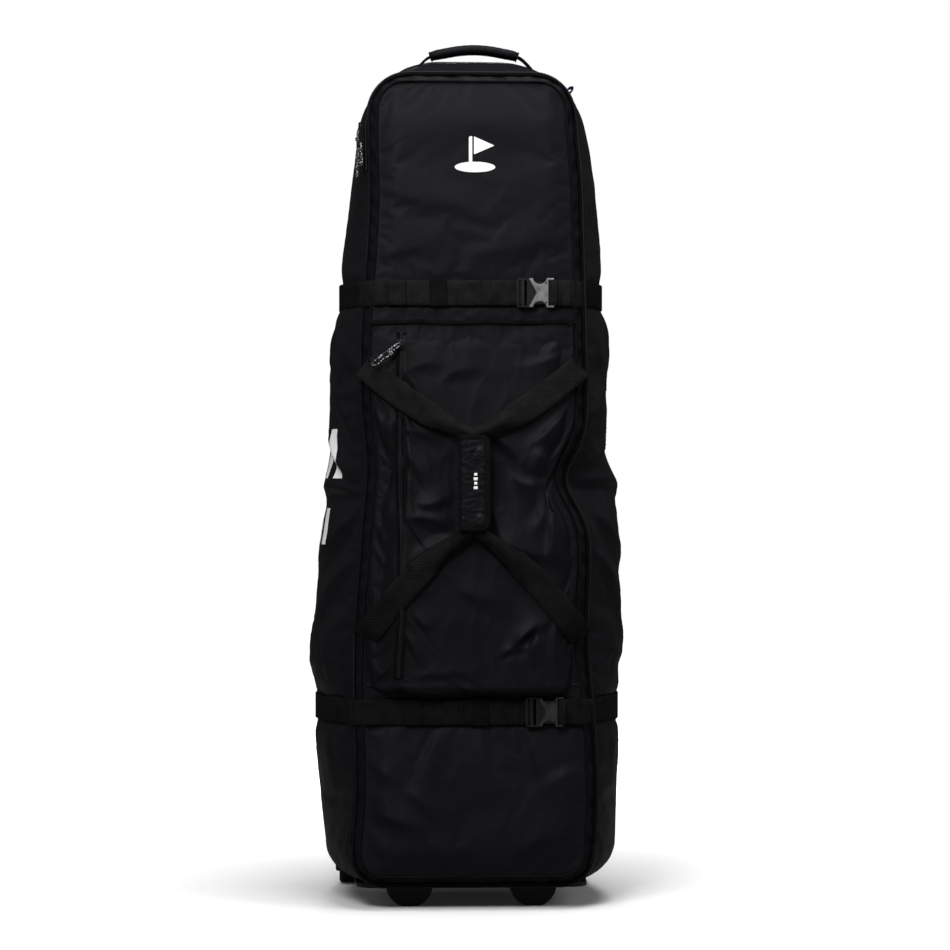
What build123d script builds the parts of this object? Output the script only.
from build123d import *

import os
from math import atan, atan2, cos, degrees, hypot, radians, sin, tan

# Wheeled soft travel case for a set of golf clubs, standing upright.
# The case is a sewn box: a back panel, a wide gusset all round it, and a front
# lid that is hinged along the left edge and zipped round the other three.
# Frame: millimetres, +X to the right, +Y to the back, +Z up, floor at Z = 0,
# origin under the middle of the overall box.

# ---- driving dimensions ----
FLOOR_GAP = 36.0  # underside of the fabric shell above the floor
DEPTH = 356.0  # seam plane, at its foot, to the back panel
LEAN = 2.0  # degrees that the front leans back
SHELL_WALL = 3.0  # fabric, foam and lining together
LID_RISE = 22.0  # front face of the lid above the seam plane
LID_HEIGHT = 1200.0  # length of the lid along the seam plane
WEBBING = 38.0  # width of the strap webbing
WEB_T = 2.2  # thickness of the webbing
WHEEL_R = 38.0
WHEEL_W = 27.0
AXLE_R = 4.0
SEAM_GAP = 0.4  # clearance between the lid and the case
TOUCH = 0.2  # clearance under things sewn onto a curved face

# heights along the lid, measured up the seam plane
POCKET_LOW, POCKET_TOP = 294.0, 828.0
STRAP_UP, STRAP_DOWN = 872.0, 255.0
ANCHOR_UP, ANCHOR_DOWN = 756.0, 361.0
GRIP_LOW, GRIP_TOP = 518.0, 660.0

# rises above the seam plane
STRAP_H = LID_RISE + 1.6  # underside of the strap, clear of the keeper's back
POCKET_FOOT, POCKET_HEAD = 38.0, 6.0  # depth of the pocket at its foot and head
ARM_H = 66.0  # middle of the carry webbing beside the grip
GRIP_H = 58.0  # back of the carry grip
SNAP_TOP = GRIP_H + 20.6  # crown of the snap caps

# the front and back of everything, which centre the frame
WHEEL_SET_IN = 24.0  # wheel centre in front of the back panel
PROUD_BACK = WHEEL_R - WHEEL_SET_IN
TILT = radians(LEAN)
SNAP_PITCH = 98.0
GRIP_MID = (GRIP_LOW + GRIP_TOP) / 2
PROUD_FRONT = SNAP_TOP * cos(TILT) - (GRIP_MID - SNAP_PITCH / 2 - 6.0) * sin(TILT)
FRONT_Y = PROUD_FRONT - (DEPTH + PROUD_FRONT + PROUD_BACK) / 2
BACK_Y = FRONT_Y + DEPTH

os.makedirs("parts", exist_ok=True)


def save(part, name):
    """Labels a finished piece and writes it."""
    part.label = name
    export_step(part, f"parts/{name}.step")


# ---- planes ----
def lean_plane(distance, lean):
    """Plane of a section, this far behind the foot of the seam plane; it faces the front."""
    a = radians(lean)
    return Plane(
        origin=(0, FRONT_Y + distance, FLOOR_GAP), x_dir=(1, 0, 0), z_dir=(0, -cos(a), sin(a))
    )


SEAM = lean_plane(0, LEAN)
OUT_OF_LID = Axis((0, 0, 0), SEAM.z_dir)


def on_lid(x, y, h):
    """Plane parallel to the lid, at x across it, y up it and h out from the seam plane."""
    return Plane(SEAM.from_local_coords((x, y, h)), x_dir=SEAM.x_dir, z_dir=SEAM.z_dir)


def across_lid(x):
    """Plane whose x runs up the lid and whose y runs out of it."""
    return Plane(SEAM.from_local_coords((x, 0, 0)), x_dir=SEAM.y_dir, z_dir=(1, 0, 0))


def along_lid(y):
    """Plane whose x runs across the lid and whose y runs out of it; it faces down."""
    return Plane(SEAM.from_local_coords((0, y, 0)), x_dir=(1, 0, 0), z_dir=-SEAM.y_dir)


# ---- the sewn box ----
def outline(plane, low, wide, top, height, r_low, r_top, grow=0.0, wide_at=364.0):
    """Six-sided tapered outline, rounded at its four outer corners."""
    with BuildSketch(plane) as shape:
        with BuildLine():
            Polyline(
                (low + grow, -grow),
                (wide + grow, wide_at),
                (top + grow, height + grow),
                (-top - grow, height + grow),
                (-wide - grow, wide_at),
                (-low - grow, -grow),
                close=True,
            )
        make_face()
        corners = shape.vertices().sort_by(Axis.Y)
        fillet(corners[:2], r_low + grow)
        fillet(shape.vertices().sort_by(Axis.Y)[-2:], r_top + grow)
    return shape.sketch


# distance behind the seam, lean, half widths low, wide and top, height, corner radii
SECTIONS = [
    (0.0, LEAN, 180, 171, 152, LID_HEIGHT, 50, 62),
    (110.0, 1.4, 219, 228.5, 171, 1224, 58, 84),
    (230.0, 0.7, 214, 226, 166, 1230, 58, 84),
    (DEPTH, 0.0, 190, 204, 146, 1204, 46, 60),
]


def sewn_box(grow=0.0):
    """Solid inside of the case, from the seam plane to the back panel, grown all round."""
    with BuildPart() as box:
        for n, (distance, lean, *sizes) in enumerate(SECTIONS):
            back = grow if n == len(SECTIONS) - 1 else 0.0
            add(outline(lean_plane(distance + back, lean), *sizes, grow=grow))
        loft()
    return box.part


def lid_block(grow=0.0):
    """Solid envelope of the lid: a sloped side strip and a flat, round-edged face."""
    with BuildPart() as block:
        for inset, rise in ((0, SEAM_GAP), (14, 16.0 + grow), (20, LID_RISE + grow)):
            plane = SEAM.offset(rise)
            low_edge = on_lid(0, inset, rise)
            sizes = (180 - inset, 171 - inset, 152 - inset, LID_HEIGHT - 2 * inset)
            plane = Plane(low_edge.origin, x_dir=plane.x_dir, z_dir=plane.z_dir)
            add(outline(plane, *sizes, 50 - inset * 0.6, 62 - inset * 0.6, grow, 364 - inset))
        loft(ruled=True)
    return block.part


# ---- wheel housings, wheels and axles ----
WHEEL_X = 180.5
WHEEL_Y = BACK_Y - WHEEL_SET_IN
HOUSING = {"x": 50.0, "y": 87.0, "z": 92.0}  # outer size of a housing
HOUSING_X = 200.0 - HOUSING["x"] / 2
HOUSING_Y = BACK_Y + 3.0 - HOUSING["y"] / 2
HOUSING_Z = 24.0 + HOUSING["z"] / 2


def housing_room(clearance):
    """Blocks that the wheel housings stand in, open to the sides and the back."""
    with BuildPart() as room:
        for side in (-1, 1):
            with Locations((side * (HOUSING_X + 20), HOUSING_Y + 20, HOUSING_Z)):
                Box(
                    HOUSING["x"] + 40 + 2 * clearance,
                    HOUSING["y"] + 40 + 2 * clearance,
                    HOUSING["z"] + 2 * clearance,
                )
    return room.part


with BuildPart() as wheel_housing:
    with Locations((HOUSING_X, HOUSING_Y, HOUSING_Z)):
        Box(HOUSING["x"], HOUSING["y"], HOUSING["z"])
    fillet(wheel_housing.edges().filter_by(Axis.X), 9)
    outer_rim = wheel_housing.faces().sort_by(Axis.X)[-1].edges()
    fillet(outer_rim, 3)
    with BuildSketch(Plane.YZ.offset(WHEEL_X - WHEEL_W / 2 - 1.5)) as well:
        with Locations((WHEEL_Y, WHEEL_R)):
            Circle(WHEEL_R + 5)
        with Locations((WHEEL_Y + 40, WHEEL_R)):
            Rectangle(80, 2 * WHEEL_R + 10)
        with Locations((WHEEL_Y, 0)):
            Rectangle(2 * WHEEL_R + 10, 2 * WHEEL_R)
    extrude(amount=WHEEL_W + 3, mode=Mode.SUBTRACT)
    with Locations(Plane((HOUSING_X, WHEEL_Y, WHEEL_R), z_dir=(1, 0, 0))):
        Hole(AXLE_R + 0.05)
    with BuildSketch(Plane((HOUSING_X - HOUSING["x"] / 2, WHEEL_Y, WHEEL_R), z_dir=(1, 0, 0))):
        Circle(6.7)
    extrude(amount=5.2, mode=Mode.SUBTRACT)

with BuildPart() as wheel_tyre:
    with BuildSketch(Plane.XY) as tread:
        with BuildLine():
            half = WHEEL_W / 2
            Polyline((half - 5, WHEEL_R), (5 - half, WHEEL_R))
            JernArc((5 - half, WHEEL_R), (-1, 0), 5, 90)
            Line((-half, WHEEL_R - 5), (-half, 27))
            Line((-half, 27), (half, 27))
            Line((half, 27), (half, WHEEL_R - 5))
            JernArc((half, WHEEL_R - 5), (0, 1), 5, 90)
        make_face()
    revolve(axis=Axis.X)

with BuildPart() as wheel_hub:
    with BuildSketch(Plane.YZ.offset(-WHEEL_W / 2 + 0.5)):
        Circle(27)
    extrude(amount=WHEEL_W - 1)
    for side in (-1, 1):
        start = Plane.YZ.offset(side * (WHEEL_W / 2 - 0.5))
        with BuildSketch(start):
            Circle(23.5)
            Circle(14, mode=Mode.SUBTRACT)
        extrude(amount=-side * 9, mode=Mode.SUBTRACT)
        with BuildSketch(start):
            Circle(11)
        extrude(amount=-side * 7, mode=Mode.SUBTRACT)
    with Locations(Plane.YZ):
        Hole(7)
        with PolarLocations(18.5, 6):
            Hole(3.2)

with BuildPart() as wheel_bearings:
    for side in (-1, 1):
        with BuildSketch(Plane.YZ.offset(side * (WHEEL_W / 2 - 0.5))):
            Circle(11)
            Circle(AXLE_R + 0.05, mode=Mode.SUBTRACT)
        extrude(amount=-side * 7)

for side, name in ((-1, "left"), (1, "right")):
    place = Location((side * WHEEL_X, WHEEL_Y, WHEEL_R))
    save(wheel_tyre.part.moved(place), f"wheel_{name}_tyre")
    save(wheel_hub.part.moved(place), f"wheel_{name}_hub")
    save(wheel_bearings.part.moved(place), f"wheel_{name}_bearings")
save(wheel_housing.part, "wheel_housing_right")
save(mirror(wheel_housing.part, about=Plane.YZ), "wheel_housing_left")

with BuildPart() as wheel_axles:
    for side in (-1, 1):
        inner = side * (HOUSING_X - HOUSING["x"] / 2 + 0.2)
        outer = side * (HOUSING_X + HOUSING["x"] / 2)
        for start, radius, length in (
            (inner, AXLE_R, HOUSING["x"]),
            (inner, 6.5, 4.8),
            (outer + side * 0.05, 7.5, 3.2),
        ):
            with BuildSketch(Plane((start, WHEEL_Y, WHEEL_R), z_dir=(side, 0, 0))):
                Circle(radius)
            extrude(amount=length)
save(wheel_axles.part, "wheel_axles")

# ---- moulded base, feet, rails and their fasteners ----
TRAY_T = 6.0
FOOT_X, FOOT_Y, FOOT_R, FOOT_W = 92.0, FRONT_Y + 60.0, 35.0, 46.0
SCREW_R = 2.2
RAIL_X, RAIL_LOW, RAIL_TOP = 100.0, 330.0, 874.0
RIVET_HEIGHTS = [RAIL_LOW + 35 + n * 158 for n in range(4)]
SCREW_SPOTS = [(side * FOOT_X, FOOT_Y + dy) for side in (-1, 1) for dy in (-14, 14)]
KICK_TOP = 165.0

with BuildPart() as base_tray:
    with BuildSketch(Plane.XY.offset(FLOOR_GAP - TRAY_T)):
        with Locations((0, (FRONT_Y + 16 + BACK_Y + 4) / 2)):
            RectangleRounded(344, BACK_Y + 4 - FRONT_Y - 16, 30)
    extrude(amount=TRAY_T)
    with Locations((0, BACK_Y + 2.2, (FLOOR_GAP - TRAY_T + KICK_TOP) / 2)):
        Box(288, 3.6, KICK_TOP - FLOOR_GAP + TRAY_T)
    fillet(base_tray.edges().filter_by(Axis.Y).sort_by(Axis.Z)[-2:], 24)
    add(housing_room(0.3), mode=Mode.SUBTRACT)
    for n in range(-2, 3):
        with Locations((n * 62.0, FRONT_Y + 190, FLOOR_GAP - TRAY_T - 1.5)):
            Box(10, 170, 3)
    with Locations(*[Location((x, y, 0)) for x, y in SCREW_SPOTS]):
        Hole(SCREW_R)
save(base_tray.part, "base_tray")

with BuildPart() as front_feet:
    for side in (-1, 1):
        back_of_foot = (side * FOOT_X, FOOT_Y + FOOT_W / 2, 0)
        with BuildSketch(Plane(back_of_foot, x_dir=(1, 0, 0), z_dir=(0, -1, 0))):
            with Locations((0, FOOT_R - 1.6)):
                Circle(FOOT_R)
            with Locations((0, 15)):
                Rectangle(2 * FOOT_R, 2 * 15, mode=Mode.INTERSECT)
        extrude(amount=FOOT_W)
    with Locations(*[Location((x, y, FLOOR_GAP - TRAY_T)) for x, y in SCREW_SPOTS]):
        Hole(SCREW_R, depth=16)
save(front_feet.part, "front_feet")

with BuildPart() as base_screws:
    for x, y in SCREW_SPOTS:
        with BuildSketch(Plane((x, y, 16))):
            Circle(SCREW_R)
        extrude(amount=FLOOR_GAP + SHELL_WALL - 16)
        with BuildSketch(Plane((x, y, FLOOR_GAP + SHELL_WALL))):
            Circle(6)
        extrude(amount=2.4)
save(base_screws.part, "base_screws")

with BuildPart() as skid_rails:
    for side in (-1, 1):
        with BuildSketch(Plane((side * RAIL_X, BACK_Y, RAIL_LOW), z_dir=(0, 0, 1))):
            with Locations((0, 3.5)):
                Rectangle(16, 7)
        extrude(amount=RAIL_TOP - RAIL_LOW)
    outer_face = skid_rails.faces().sort_by(Axis.Y)[-2:]
    chamfer(outer_face.edges(), 4)
    for height in RIVET_HEIGHTS:
        with Locations(Plane((RAIL_X, BACK_Y, height), z_dir=(0, 1, 0))):
            Hole(SCREW_R)
        with Locations(Plane((-RAIL_X, BACK_Y, height), z_dir=(0, 1, 0))):
            Hole(SCREW_R)
save(skid_rails.part, "skid_rails")

BOARD_T = 3.0
with BuildPart() as rail_rivets:
    for side in (-1, 1):
        for height in RIVET_HEIGHTS:
            inner = BACK_Y - SHELL_WALL - BOARD_T - TOUCH
            with BuildSketch(Plane((side * RAIL_X, inner, height), z_dir=(0, 1, 0))):
                Circle(SCREW_R)
            extrude(amount=SHELL_WALL + BOARD_T + TOUCH + 7)
            with BuildSketch(Plane((side * RAIL_X, BACK_Y + 7, height), z_dir=(0, 1, 0))):
                Circle(4)
            extrude(amount=1.4)
save(rail_rivets.part, "rail_rivets")

# ---- fabric shell of the case ----
with BuildPart() as main_shell:
    add(sewn_box())
    add(sewn_box(-SHELL_WALL), mode=Mode.SUBTRACT)
    add(housing_room(0.3), mode=Mode.SUBTRACT)
    with Locations(*[Location((x, y, FLOOR_GAP)) for x, y in SCREW_SPOTS]):
        Hole(SCREW_R, depth=SHELL_WALL * 2)
    for side in (-1, 1):
        for height in RIVET_HEIGHTS:
            with Locations(Plane((side * RAIL_X, BACK_Y, height), z_dir=(0, 1, 0))):
                Hole(SCREW_R, depth=SHELL_WALL * 2)
save(main_shell.part, "main_shell")

INNER_BACK = BACK_Y - SHELL_WALL - TOUCH
with BuildPart() as back_board:
    with BuildSketch(Plane((0, INNER_BACK, 0), x_dir=(1, 0, 0), z_dir=(0, -1, 0))):
        with Locations((0, 620)):
            RectangleRounded(256, 1080, 30)
        with Locations(*[(side * RAIL_X, z) for side in (-1, 1) for z in RIVET_HEIGHTS]):
            Circle(SCREW_R, mode=Mode.SUBTRACT)
    extrude(amount=BOARD_T)
save(back_board.part, "back_board")

PAD_LOW = 985.0  # foot of the padded crown
with BuildPart() as crown_pad:
    add(sewn_box(-SHELL_WALL - TOUCH))
    add(sewn_box(-SHELL_WALL - 10), mode=Mode.SUBTRACT)
    with Locations((0, FRONT_Y + 205, PAD_LOW + 150)):
        Box(500, 200, 300, mode=Mode.INTERSECT)
save(crown_pad.part, "crown_pad")

STRAP_INNER = [430.0, 850.0]  # heights of the inner cinch straps
BOARD_FACE = INNER_BACK - BOARD_T
with BuildPart() as inner_straps:
    for height in STRAP_INNER:
        for side in (-1, 1):
            with Locations((side * 73.0, BOARD_FACE - 1.4, height)):
                Box(92, WEB_T, WEBBING)
save(inner_straps.part, "inner_straps")

with BuildPart() as inner_buckles:
    for height in STRAP_INNER:
        on_board = Plane((0, BOARD_FACE - 0.4, height), x_dir=(1, 0, 0), z_dir=(0, -1, 0))
        with BuildSketch(on_board):
            RectangleRounded(53, 46, 6)
            with Locations((-20, 0), (20, 0)):
                Rectangle(5, 39, mode=Mode.SUBTRACT)
        extrude(amount=8)
save(inner_buckles.part, "inner_buckles")

# ---- bands round the case: straps, zip half and piping ----
HINGE_CLEAR = 4.0  # straps and zip stop this far behind the seam at the hinge
ZIP_LOW, ZIP_TOP = 118.0, 1090.0  # the case's zip half leaves the hinge side free between these
LID_ZIP_LOW, LID_ZIP_TOP = 36.0, 1154.0  # the lid's half stops where the outline leaves the hinge
HINGE_FOOT = Vector(-180, 0, 0)
HINGE_HEAD = Vector(-152, LID_HEIGHT, 0)


def behind_seam(start, length):
    """Slab of the given length that starts this far behind the seam plane."""
    with BuildPart() as slab:
        with BuildSketch(SEAM.offset(-start)):
            with Locations((0, 600)):
                Rectangle(700, 1500)
        extrude(amount=-length)
    return slab.part


def case_band(height, thickness):
    """Webbing round the sides and back of the case, open at the front."""
    with BuildPart() as band:
        add(sewn_box(TOUCH + thickness))
        add(sewn_box(TOUCH), mode=Mode.SUBTRACT)
        with Locations((0, 0, height)):
            Box(700, 700, WEBBING, mode=Mode.INTERSECT)
        add(behind_seam(-10, 10 + HINGE_CLEAR), mode=Mode.SUBTRACT)
    return band.part


def strap_height(y):
    """Height above the floor of a strap that lies this far up the lid."""
    return FLOOR_GAP + y * cos(TILT) + LID_RISE * sin(TILT)


save(case_band(strap_height(STRAP_UP), WEB_T), "upper_strap_back")
save(case_band(strap_height(STRAP_DOWN), WEB_T), "lower_strap_back")

ZIP_T = 1.3
with BuildPart() as main_zip_case_half:
    add(sewn_box(TOUCH + ZIP_T))
    add(sewn_box(TOUCH), mode=Mode.SUBTRACT)
    add(behind_seam(SEAM_GAP, 10), mode=Mode.INTERSECT)
    with Locations((-250, FRONT_Y, FLOOR_GAP + (ZIP_LOW + ZIP_TOP) / 2)):
        Box(300, 400, ZIP_TOP - ZIP_LOW, mode=Mode.SUBTRACT)
    for height in (strap_height(STRAP_UP), strap_height(STRAP_DOWN)):
        with Locations((250, FRONT_Y, height)):
            Box(300, 400, WEBBING + 1, mode=Mode.SUBTRACT)
save(main_zip_case_half.part, "main_zip_case_half")

PIPING_R = 2.2
with BuildPart() as back_piping:
    back_outline = outline(lean_plane(DEPTH + 2.0, 0), *SECTIONS[3][2:], grow=1.0)
    with BuildLine() as piping_path:
        add(back_outline.face().outer_wire())
    start_edge = piping_path.edges().sort_by(Axis.Z)[-1]
    with BuildSketch(Plane(start_edge @ 0.5, z_dir=start_edge % 0.5)):
        Circle(PIPING_R)
    sweep()
    add(housing_room(0.3), mode=Mode.SUBTRACT)
    for height in (strap_height(STRAP_UP), strap_height(STRAP_DOWN)):
        with Locations((0, BACK_Y, height)):
            Box(700, 60, WEBBING + 1, mode=Mode.SUBTRACT)
    with Locations((0, BACK_Y, FLOOR_GAP)):
        Box(360, 60, 30, mode=Mode.SUBTRACT)
save(back_piping.part, "back_piping")

# ---- the lid ----
with BuildPart() as lid_shell:
    add(lid_block())
    add(lid_block(-SHELL_WALL).moved(Location(SEAM.z_dir * -0.1)), mode=Mode.SUBTRACT)
save(lid_shell.part, "lid_shell")

FOAM_T = 9.0
with BuildPart() as lid_foam_pad:
    with BuildSketch(SEAM.offset(LID_RISE - SHELL_WALL - FOAM_T - TOUCH)):
        with Locations((0, 1030)):
            RectangleRounded(232, 250, 30)
    extrude(amount=FOAM_T)
save(lid_foam_pad.part, "lid_foam_pad")

with BuildPart() as lid_piping:
    rim = outline(on_lid(0, 14, 18.2), 166, 157, 138, LID_HEIGHT - 28, 41.6, 53.6, 1.6, 350)
    with BuildLine() as rim_path:
        add(rim.face().outer_wire())
    start_edge = rim_path.edges().sort_by(Axis.Z)[-1]
    with BuildSketch(Plane(start_edge @ 0.5, z_dir=start_edge % 0.5)):
        Circle(PIPING_R)
    sweep()
    add(lid_block(TOUCH), mode=Mode.SUBTRACT)
    with Locations(on_lid(0, STRAP_UP, 18), on_lid(0, STRAP_DOWN, 18)):
        Box(400, WEBBING + 1, 20, mode=Mode.SUBTRACT)
save(lid_piping.part, "lid_piping")

with BuildPart() as main_zip_lid_half:
    add(lid_block(TOUCH + ZIP_T))
    add(lid_block(TOUCH), mode=Mode.SUBTRACT)
    with BuildSketch(SEAM.offset(SEAM_GAP)):
        with Locations((0, 600)):
            Rectangle(700, 1500)
    extrude(amount=9, mode=Mode.INTERSECT)
    with Locations(on_lid(-250, (LID_ZIP_LOW + LID_ZIP_TOP) / 2, 0)):
        Box(300, LID_ZIP_TOP - LID_ZIP_LOW, 400, mode=Mode.SUBTRACT)
    with Locations(on_lid(250, STRAP_UP, 0), on_lid(250, STRAP_DOWN, 0)):
        Box(300, WEBBING + 1, 400, mode=Mode.SUBTRACT)
save(main_zip_lid_half.part, "main_zip_lid_half")

# ---- front pocket, its zip and slider ----
POCKET_MID = (POCKET_LOW + POCKET_TOP) / 2
POCKET_LENGTH = POCKET_TOP - POCKET_LOW
POCKET_HALF = 136.0
POCKET_DRAFT = 16.0  # each side of the face is this much further in
POCKET_SLOPE = atan((POCKET_FOOT - POCKET_HEAD) / POCKET_LENGTH)
POCKET_WALL = 2.5


def pocket_plane(h=0.0):
    """Plane of the pocket's sloped face, or h above it."""
    middle = on_lid(0, POCKET_MID, LID_RISE + (POCKET_FOOT + POCKET_HEAD) / 2)
    return middle.rotated((-degrees(POCKET_SLOPE), 0, 0)).offset(h)


def pocket_block(inset, rise):
    """Solid pocket: wide at the lid, narrower at its face, deepest at its foot."""
    with BuildPart() as block:
        with BuildSketch(on_lid(0, POCKET_MID, LID_RISE)):
            RectangleRounded(2 * (POCKET_HALF - inset), POCKET_LENGTH - 2 * inset, 18 - inset)
        with BuildSketch(pocket_plane(rise)):
            half = POCKET_HALF - POCKET_DRAFT - inset
            RectangleRounded(2 * half, POCKET_LENGTH - 16 - 2 * inset, 14 - inset)
        loft()
    return block.part


with BuildPart() as pocket_shell:
    add(pocket_block(0, 0))
    add(pocket_block(3, -POCKET_WALL), mode=Mode.SUBTRACT)
save(pocket_shell.part, "pocket_shell")

POCKET_ZIP_X = -106.0
with BuildPart() as pocket_zip:
    with BuildSketch(pocket_plane()):
        with Locations((POCKET_ZIP_X, 0)):
            Rectangle(22, 500)
    extrude(amount=1.0)
    with BuildSketch(pocket_plane(1.0)):
        with Locations((POCKET_ZIP_X, 0)):
            Rectangle(5, 496)
    extrude(amount=1.4)
save(pocket_zip.part, "pocket_zip")


def zip_slider(plane):
    """Slider body with a bridge that the pull cord is tied through; x is across the zip."""
    with BuildPart() as slider:
        with BuildSketch(plane):
            with BuildLine():
                Polyline((-3, -8), (3, -8), (5.5, 3), (5.5, 6), (-5.5, 6), (-5.5, 3), close=True)
            make_face()
        extrude(amount=2.6)
        with BuildSketch(Plane(plane.origin, x_dir=plane.y_dir, z_dir=plane.x_dir)):
            with Locations((-0.5, 4.6)):
                RectangleRounded(11, 7.4, 2.5)
            with Locations((-0.5, 4.9)):
                RectangleRounded(7, 4.0, 1.9, mode=Mode.SUBTRACT)
            with Locations((0, -3)):
                Rectangle(40, 6, mode=Mode.SUBTRACT)
        extrude(amount=1.4, both=True)
    return slider.part


SLIDER_START = 236.0  # up the pocket's face from its middle
pocket_slider_plane = Plane(
    pocket_plane().from_local_coords((POCKET_ZIP_X, SLIDER_START, 2.6)),
    x_dir=(1, 0, 0),
    z_dir=pocket_plane().z_dir,
)
save(zip_slider(pocket_slider_plane), "pocket_slider")

# ---- pull cords ----
CORD_R = 1.5
EYE_H = 4.9  # middle of the bridge's eye above the slider's foot


def pull_cord(plane, route):
    """Cord along a route of points given on the slider's plane, rounded at every corner."""
    points = [Vector(plane.from_local_coords(p)) for p in route]
    runs = [(b - a).length for a, b in zip(points, points[1:])]
    radii = []
    for before, corner, after in zip(points, points[1:], points[2:]):
        turn = (corner - before).get_angle(after - corner)
        n = len(radii)
        radii.append(0.45 * min(runs[n], runs[n + 1]) / tan(radians(turn / 2)))
    with BuildPart() as cord:
        with BuildLine() as path:
            FilletPolyline(*points, radius=radii)
        with BuildSketch(Plane(path.wire() @ 0, z_dir=path.wire() % 0)):
            Circle(CORD_R)
        sweep()
    length = path.wire().length
    print(
        f"cord {length:.1f} mm, tightest bend {min(radii):.2f} mm,",
        f"volume {cord.part.volume / (3.14159265 * CORD_R**2 * length):.3f} of section times length",
    )
    return cord.part


# each route starts in front of the bridge's eye, runs out, turns and comes back
POCKET_PULL = [
    (-2.2, -0.4, 4.9), (-9, -3.5, 5.4), (-17, -11, 3.2), (-25.5, -15.5, 2.4), (-33, -22.5, 2.2),
    (-39.5, -26.5, 2.2), (-42.4, -31.5, 2.2), (-37.5, -34, 2.2), (-31.5, -30, 2.2),
    (-24, -22, 2.4), (-15, -17.5, 3.2), (-8.5, -9, 5.4), (-2.4, -4.4, 4.9),
]
UPPER_PULL = [
    (-2.2, 0.4, 4.9), (-7, -4, 5.5), (-9.4, -12, 4.6), (-9.0, -24, 3.8), (-10.2, -36, 3.4),
    (-9.4, -48, 3.4), (-10.4, -60, 3.4), (-9.8, -69, 3.4), (-11.2, -75.5, 3.4), (-15, -76.5, 3.4),
    (-16.2, -70.5, 3.4), (-14.2, -61, 3.4), (-14.9, -49, 3.4), (-13.6, -37, 3.4), (-14.2, -25, 3.8),
    (-12.8, -13.5, 4.6), (-9.4, -6.5, 5.6), (-2.8, -3.8, 4.9),
]
LOWER_PULL = [
    (2.2, -0.4, 4.9), (4.8, -5.4, 5.6), (4.0, -14, 4.4), (5.2, -23, 3.6), (5.0, -31, 3.4),
    (2.0, -35.6, 3.4), (-1.6, -33, 3.4), (-0.8, -25, 3.4), (-1.8, -15, 3.8), (-3.4, -7, 5.2),
    (-2.4, -1.8, 4.9),
]
save(pull_cord(pocket_slider_plane, POCKET_PULL), "pocket_pull_cord")

# the main zip's two sliders lie on the gusset, high on the left
box_surface = sewn_box(TOUCH + ZIP_T)


def gusset_plane(height, behind):
    """Plane on the gusset's left side, this far behind the seam; x is to the back."""
    ray = Axis(SEAM.from_local_coords((-400, height, -behind)), (1, 0, 0))
    point, normal = box_surface.find_intersection_points(ray)[0]
    outward = -normal if normal.X > 0 else normal
    up = (HINGE_HEAD - HINGE_FOOT).normalized()
    up = SEAM.from_local_coords(up) - SEAM.origin
    side = up.cross(outward)
    return Plane(point + outward * 0.5, x_dir=side, z_dir=outward)


upper_slider_plane = gusset_plane(1124.0, 9.0)
lower_slider_plane = gusset_plane(1098.0, 9.0)
save(zip_slider(upper_slider_plane), "main_slider_upper")
save(zip_slider(lower_slider_plane), "main_slider_lower")
save(pull_cord(upper_slider_plane, UPPER_PULL), "main_pull_upper_cord")
save(pull_cord(lower_slider_plane, LOWER_PULL), "main_pull_lower_cord")

# ---- compression straps and buckles across the lid ----
STRAP_MID_H = STRAP_H + WEB_T / 2
BUCKLE_T = 8.6
BUCKLE_H = STRAP_H + WEB_T + 0.4  # underside of the buckle's female half
BUCKLE_START = 65.0  # left end of the upper buckle from the lid's centre line
LOWER_SHIFT = 12.0  # the lower buckle sits this much further right
TAIL_START = -125.0


def lid_band(y):
    """Webbing that follows the lid's face and sloped sides."""
    with BuildPart() as band:
        add(lid_block(STRAP_H - LID_RISE + WEB_T))
        add(lid_block(STRAP_H - LID_RISE), mode=Mode.SUBTRACT)
        with Locations(on_lid(0, y, 0)):
            Box(500, WEBBING, 200, mode=Mode.INTERSECT)
        with BuildSketch(SEAM.offset(HINGE_CLEAR)):
            with Locations((0, 600)):
                Rectangle(700, 1500)
        extrude(amount=60, mode=Mode.INTERSECT)
    return band.part


def strap_front(y, shift):
    """Left part: the sewn webbing, and the free tail that lies on it."""
    buckle = BUCKLE_START + shift
    with BuildPart() as strap:
        add(lid_band(y))
        with Locations(on_lid(buckle + 16 + 250, y, 0)):
            Box(500, WEBBING + 4, 200, mode=Mode.SUBTRACT)
        with BuildSketch(along_lid(y)):
            with BuildLine():
                Polyline(
                    (TAIL_START + 2 * shift, STRAP_MID_H + WEB_T - 0.05),
                    (buckle - 27, STRAP_MID_H + WEB_T - 0.05),
                )
            trace(line_width=WEB_T)
        extrude(amount=WEBBING / 2 - 0.5, both=True)
    return strap.part


def strap_end(y, shift):
    """Right part: folded round the buckle's bar and stitched back onto itself."""
    bar = BUCKLE_START + shift + 53.4
    with BuildPart() as strap:
        add(lid_band(y))
        with Locations(on_lid(bar - 2 - 250, y, 0)):
            Box(500, WEBBING + 4, 200, mode=Mode.SUBTRACT)
        with BuildSketch(along_lid(y)):
            with BuildLine():
                FilletPolyline(
                    (bar - 1, STRAP_MID_H),
                    (bar - 5.1, STRAP_MID_H),
                    (bar - 5.1, STRAP_MID_H + 9.2),
                    (bar + 4.6, STRAP_MID_H + 9.2),
                    (bar + 6.9, STRAP_MID_H + 2.15),
                    (bar + 24, STRAP_MID_H + 2.15),
                    radius=1.15,
                )
            trace(line_width=WEB_T - 0.2)
        extrude(amount=WEBBING / 2 - 0.5, both=True)
    return strap.part


def buckle_plane(y, shift, h=BUCKLE_H):
    return on_lid(BUCKLE_START + shift, y, h)


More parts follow.
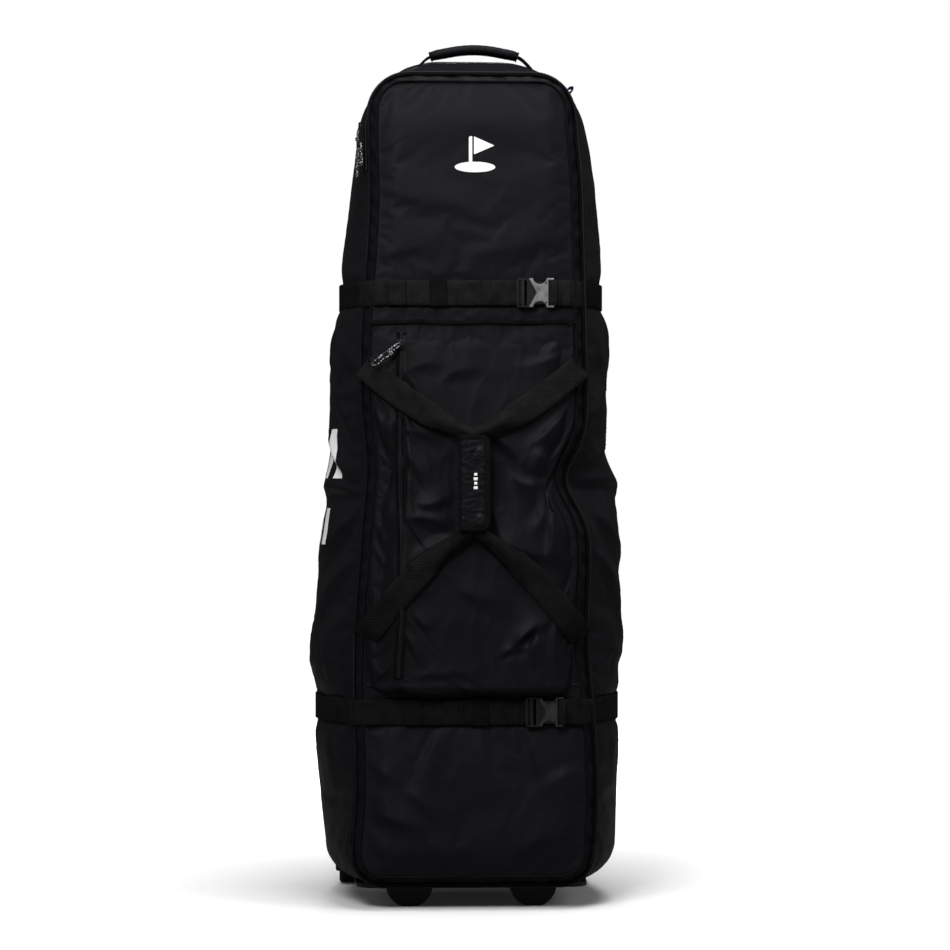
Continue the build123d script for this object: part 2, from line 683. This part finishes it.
def buckle_female(y, shift):
    """Waisted body with a V mouth, side openings, two round eyes and a webbing slot."""
    with BuildPart() as body:
        with BuildSketch(buckle_plane(y, shift)):
            with BuildLine():
                Polyline((29.5, 0), (18.2, 21), (24, 21.4))
                ThreePointArc((24, 21.4), (34.2, 12.6), (44.4, 21.6))
                Polyline((44.4, 21.6), (55, 21.6), (55, 0))
                mirror(about=Plane.XZ)
            make_face()
        extrude(amount=BUCKLE_T)
        crown = body.faces().sort_by(OUT_OF_LID)[-1]
        chamfer(crown.edges(), 0.8)
        with BuildSketch(buckle_plane(y, shift, BUCKLE_H + 1.8)):
            with Locations((28, 0)):
                Rectangle(34, 34)
        extrude(amount=5.0, mode=Mode.SUBTRACT)
        with BuildSketch(buckle_plane(y, shift)):
            with Locations((48.3, 0)):
                Rectangle(3.4, 38.2)
            with Locations((43.4, 14.5), (43.4, -14.5)):
                Circle(1.4)
        extrude(amount=BUCKLE_T, mode=Mode.SUBTRACT)
        with BuildSketch(buckle_plane(y, shift, BUCKLE_H + 6.4)):
            with Locations((55, 0)):
                Rectangle(14, 38.2)
        extrude(amount=4, mode=Mode.SUBTRACT)
    return body.part


def buckle_male(y, shift):
    """Ladder lock with an arrow head, a centre tongue and two sprung arms."""
    with BuildPart() as body:
        with BuildSketch(buckle_plane(y, shift, BUCKLE_H + 0.5)):
            with BuildLine():
                Polyline((28.9, 0), (17.4, 21.4), (2, 21.4), (0, 19.4), (0, 0))
                mirror(about=Plane.XZ)
            make_face()
            with Locations((4.8, 0), (13.3, 0)):
                Rectangle(4.2, 38.6, mode=Mode.SUBTRACT)
        extrude(amount=BUCKLE_T - 1)
        with BuildSketch(buckle_plane(y, shift, BUCKLE_H + BUCKLE_T - 2)):
            with BuildLine():
                Polyline((26.6, 0), (18.3, 17.2), (18.3, -17.2), close=True)
            make_face()
        extrude(amount=3, mode=Mode.SUBTRACT)
        with BuildSketch(buckle_plane(y, shift, BUCKLE_H + 2.4)):
            with Locations((31, 14.2), (31, -14.2)):
                Rectangle(24, 4.4)
            with Locations((33, 0)):
                Rectangle(22, 4)
            with Locations((40.5, 13.2), (40.5, -13.2)):
                Rectangle(5, 6.4)
        extrude(amount=3.8)
    return body.part


def keeper(y, x):
    """Elastic loop that holds the free tail down."""
    with BuildPart() as loop:
        with BuildSketch(across_lid(x)):
            low, high = LID_RISE + 0.3, STRAP_H + 2 * WEB_T + 1.5
            with Locations((y, (low + high) / 2)):
                RectangleRounded(WEBBING + 4, high - low, 0.9)
            with Locations((y, (low + high) / 2)):
                Rectangle(WEBBING + 1.6, high - low - 2, mode=Mode.SUBTRACT)
        extrude(amount=25)
    return loop.part


for name, y, shift, keeper_x in (
    ("upper", STRAP_UP, 0.0, -62.6),
    ("lower", STRAP_DOWN, LOWER_SHIFT, -2.0),
):
    save(strap_front(y, shift), f"{name}_strap_front")
    save(strap_end(y, shift), f"{name}_strap_end")
    save(buckle_female(y, shift), f"{name}_buckle_female")
    save(buckle_male(y, shift), f"{name}_buckle_male")
    save(keeper(y, keeper_x), f"{name}_keeper")

# ---- carry handles: four webbing arms, the grip and its snap-down flap ----
ARM_END_X = 9.0
ANCHOR_X = 150.0


def carry_arm(anchor_y, end_y, crest):
    """Right-hand arm, from its anchor on the lid's edge up to the end of the grip."""
    run = hypot(ANCHOR_X - ARM_END_X, end_y - anchor_y)
    heading = degrees(atan2(end_y - anchor_y, ARM_END_X - ANCHOR_X))
    along = SEAM.x_dir * cos(radians(heading)) + SEAM.y_dir * sin(radians(heading))
    start = Plane(SEAM.from_local_coords((ANCHOR_X, anchor_y, 0)), x_dir=along, z_dir=SEAM.z_dir)
    side = Plane(start.origin, x_dir=start.x_dir, z_dir=-start.y_dir)
    low = LID_RISE + 2.3
    with BuildPart() as arm:
        with BuildSketch(side):
            with BuildLine():
                FilletPolyline(
                    (0, low), (2.4, low), (26, crest), (run - 22, ARM_H + 0.5), (run, ARM_H),
                    radius=[2, 8, 9],
                )
            trace(line_width=WEB_T)
        extrude(amount=WEBBING / 2, both=True)
        with BuildSketch(start):
            with BuildLine():
                Polyline(
                    (-2, 19), (run * 0.6, 19), (run + 2, 6.5),
                    (run + 2, -6.5), (run * 0.6, -19), (-2, -19),
                    close=True,
                )
            make_face()
        extrude(amount=120, mode=Mode.INTERSECT)
        add(pocket_block(-0.4, 0.4), mode=Mode.SUBTRACT)
    return arm.part


for name, arm in (
    ("upper", carry_arm(ANCHOR_UP, GRIP_TOP + 12, 52.0)),
    ("lower", carry_arm(ANCHOR_DOWN, GRIP_LOW - 12, ARM_H + 2.5)),
):
    save(arm, f"carry_arm_{name}_right")
    save(mirror(arm, about=Plane.YZ), f"carry_arm_{name}_left")

with BuildPart() as carry_patches:
    with BuildSketch(SEAM.offset(LID_RISE)):
        with Locations(
            *[(side * (ANCHOR_X - 1), y) for side in (-1, 1) for y in (ANCHOR_UP, ANCHOR_DOWN)]
        ):
            Rectangle(14, 46)
    extrude(amount=1.0)
    add(pocket_block(-0.4, 0), mode=Mode.SUBTRACT)
save(carry_patches.part, "carry_patches")

GRIP_LENGTH = GRIP_TOP - GRIP_LOW
with BuildPart() as grip_webbing:
    with BuildSketch(on_lid(0, GRIP_MID, GRIP_H + 3)):
        with Locations((0, 0)):
            RectangleRounded(30, GRIP_LENGTH + 8, 4)
    extrude(amount=8)
save(grip_webbing.part, "grip_webbing")

with BuildPart() as grip_sleeve:
    with BuildSketch(along_lid(GRIP_LOW)):
        with Locations((0, GRIP_H + 7)):
            RectangleRounded(42, 14, 5)
            RectangleRounded(31, 9, 2, mode=Mode.SUBTRACT)
    extrude(amount=-GRIP_LENGTH)
save(grip_sleeve.part, "grip_sleeve")

FLAP_H = GRIP_H + 14.3
SNAP_X = 8.0
with BuildPart() as snap_studs:
    with BuildSketch(on_lid(0, GRIP_MID, GRIP_H + 14)):
        with Locations((SNAP_X, SNAP_PITCH / 2), (SNAP_X, -SNAP_PITCH / 2)):
            Circle(3.2)
    extrude(amount=2.6)
save(snap_studs.part, "snap_studs")

with BuildPart() as grip_flap:
    with BuildSketch(on_lid(0, GRIP_MID, FLAP_H)):
        Rectangle(45, GRIP_LENGTH - 4)
    extrude(amount=3.0)
    fillet(grip_flap.edges().filter_by(OUT_OF_LID).group_by(Axis.X)[-1], 14)
    with BuildSketch(on_lid(0, GRIP_MID, FLAP_H)):
        with Locations((SNAP_X, SNAP_PITCH / 2), (SNAP_X, -SNAP_PITCH / 2)):
            Circle(4)
    extrude(amount=3, mode=Mode.SUBTRACT)
save(grip_flap.part, "grip_flap")

with BuildPart() as snap_caps:
    for dy in (-SNAP_PITCH / 2, SNAP_PITCH / 2):
        with BuildSketch(on_lid(SNAP_X, GRIP_MID + dy, FLAP_H + 3.1)):
            Circle(6)
        extrude(amount=SNAP_TOP - FLAP_H - 3.1)
    for crown in snap_caps.faces().sort_by(OUT_OF_LID)[-2:]:
        chamfer(crown.edges(), 1.2)
save(snap_caps.part, "snap_caps")

# ---- top handle, its anchors and the side tab ----
HANDLE_X, HANDLE_Y = 8.0, FRONT_Y + 128.0
HANDLE_HALF = 68.0
HANDLE_FOOT = 1263.0
HANDLE_CREST = 1286.0
HANDLE_WEB = 25.0

with BuildPart() as top_handle_webbing:
    with BuildSketch(Plane((HANDLE_X, HANDLE_Y, 0), x_dir=(1, 0, 0), z_dir=(0, -1, 0))):
        with BuildLine():
            ThreePointArc(
                (-HANDLE_HALF, HANDLE_FOOT + 5), (0, HANDLE_CREST), (HANDLE_HALF, HANDLE_FOOT + 5)
            )
        trace(line_width=WEB_T)
    extrude(amount=HANDLE_WEB / 2, both=True)
save(top_handle_webbing.part, "top_handle_webbing")

with BuildPart() as top_handle_grip:
    with BuildSketch(Plane((HANDLE_X, HANDLE_Y, 0), x_dir=(1, 0, 0), z_dir=(0, -1, 0))):
        with BuildLine():
            ThreePointArc(
                (-HANDLE_HALF, HANDLE_FOOT + 5), (0, HANDLE_CREST), (HANDLE_HALF, HANDLE_FOOT + 5)
            )
        trace(line_width=15)
        with Locations((0, HANDLE_CREST)):
            Rectangle(122, 60, mode=Mode.INTERSECT)
    extrude(amount=12.5, both=True)
    long_edges = top_handle_grip.edges().filter_by(lambda e: e.length > 100)
    fillet(long_edges, 6)
    add(top_handle_webbing.part, mode=Mode.SUBTRACT)
save(top_handle_grip.part, "top_handle_grip")

with BuildPart() as top_handle_tabs:
    for side in (-1, 1):
        with Locations((HANDLE_X + side * (HANDLE_HALF + 12), HANDLE_Y, HANDLE_FOOT + 4)):
            Box(22, HANDLE_WEB + 10, 12)
    add(sewn_box(TOUCH), mode=Mode.SUBTRACT)
save(top_handle_tabs.part, "top_handle_tabs")

with BuildPart() as side_tab:
    with Locations(Plane((163, FRONT_Y + 120, 1226), x_dir=(0.8, 0, 0.6), z_dir=(0, 1, 0))):
        Box(34, 3, 16)
    add(sewn_box(TOUCH), mode=Mode.SUBTRACT)
save(side_tab.part, "side_tab")

print(f"front {FRONT_Y:.2f}, back {BACK_Y:.2f}, hinge {SEAM.from_local_coords(HINGE_FOOT)}")
